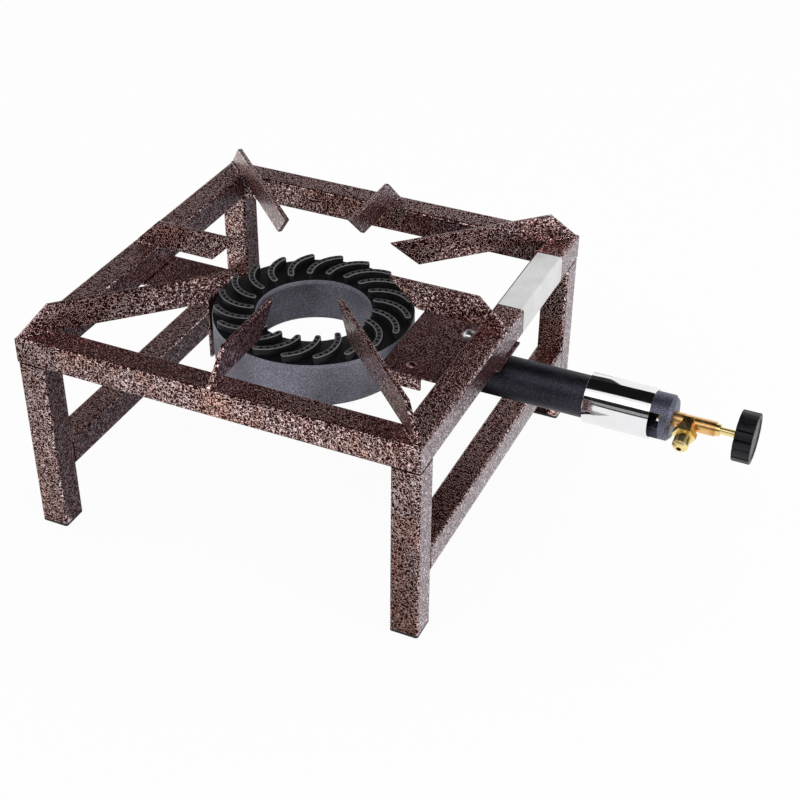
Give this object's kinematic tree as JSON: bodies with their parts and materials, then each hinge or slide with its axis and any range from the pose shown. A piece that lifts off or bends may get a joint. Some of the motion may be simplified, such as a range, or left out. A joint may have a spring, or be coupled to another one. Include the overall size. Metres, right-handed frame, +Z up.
{
  "type": "gas stool burner",
  "caption": "Square tube stool with flat-bar pot supports round a cast ring gas burner on a long mixing tube, with a sliding air sleeve and a knob-turned needle valve.",
  "frame": {"origin": "middle of the part's box, on the floor under the feet", "axes": "+X along the mixing tube towards the knob, +Y to the back, +Z up"},
  "size_m": [0.571, 0.36, 0.215],
  "materials": {
    "stand_paint": "copper hammered paint",
    "plug_plastic": "moulded",
    "burner_iron": "as cast, dark heat-proof paint",
    "screw_zinc": "zinc plated",
    "sleeve_plating": "bright nickel plated",
    "valve_brass": "turned",
    "seal_copper": "soft copper",
    "packing_white": "sealing ring",
    "needle_steel": "turned",
    "knob_plastic": "satin moulded",
    "label_film": "blank film"
  },
  "bodies": {
    "stand": {"front_rail": "stand_paint", "right_rail": "stand_paint", "back_rail": "stand_paint", "left_rail": "stand_paint", "front_left_leg": "stand_paint", "front_right_leg": "stand_paint", "back_right_leg": "stand_paint", "back_left_leg": "stand_paint", "left_stretcher": "stand_paint", "right_stretcher": "stand_paint", "front_left_support": "stand_paint", "front_right_support": "stand_paint", "back_right_support": "stand_paint", "back_left_support": "stand_paint", "front_support": "stand_paint", "right_support": "stand_paint", "back_support": "stand_paint", "left_support": "stand_paint", "left_bracket": "stand_paint", "right_plate": "stand_paint", "front_clip": "stand_paint", "back_clip": "stand_paint", "clip_rivets": "stand_paint", "front_left_plug": "plug_plastic", "front_right_plug": "plug_plastic", "back_right_plug": "plug_plastic", "back_left_plug": "plug_plastic", "burner_casting": "burner_iron", "burner_head": "burner_iron", "burner_screw": "screw_zinc", "screw_washer": "screw_zinc", "gas_jet": "valve_brass", "valve_body": "valve_brass", "inlet_seal": "seal_copper", "inlet_nipple": "valve_brass", "packing_ring": "packing_white", "gland_nut": "valve_brass", "blank_label": "label_film"},
    "air_sleeve": {"air_sleeve": "sleeve_plating"},
    "needle": {"valve_needle": "needle_steel"},
    "knob": {"spindle": "valve_brass", "knob": "knob_plastic"}
  },
  "joints": [
    {"name": "sleeve_slide", "type": "slide", "parent": "stand", "child": "air_sleeve", "axis": [1, 0, 0], "range_m": [-0.0156, 0.0084]},
    {"name": "needle_slide", "type": "slide", "parent": "stand", "child": "needle", "axis": [1, 0, 0], "range_m": [0, 0.0016]},
    {"name": "knob_turn", "type": "hinge", "parent": "needle", "child": "knob", "pos_m": [0.2709, 0, 0.1444], "axis": [1, 0, 0], "range_deg": [0, 720]}
  ],
  "couplings": [
    {"joint": "needle_slide", "follows": "knob_turn", "m_per_rad": 0.00012732}
  ]
}
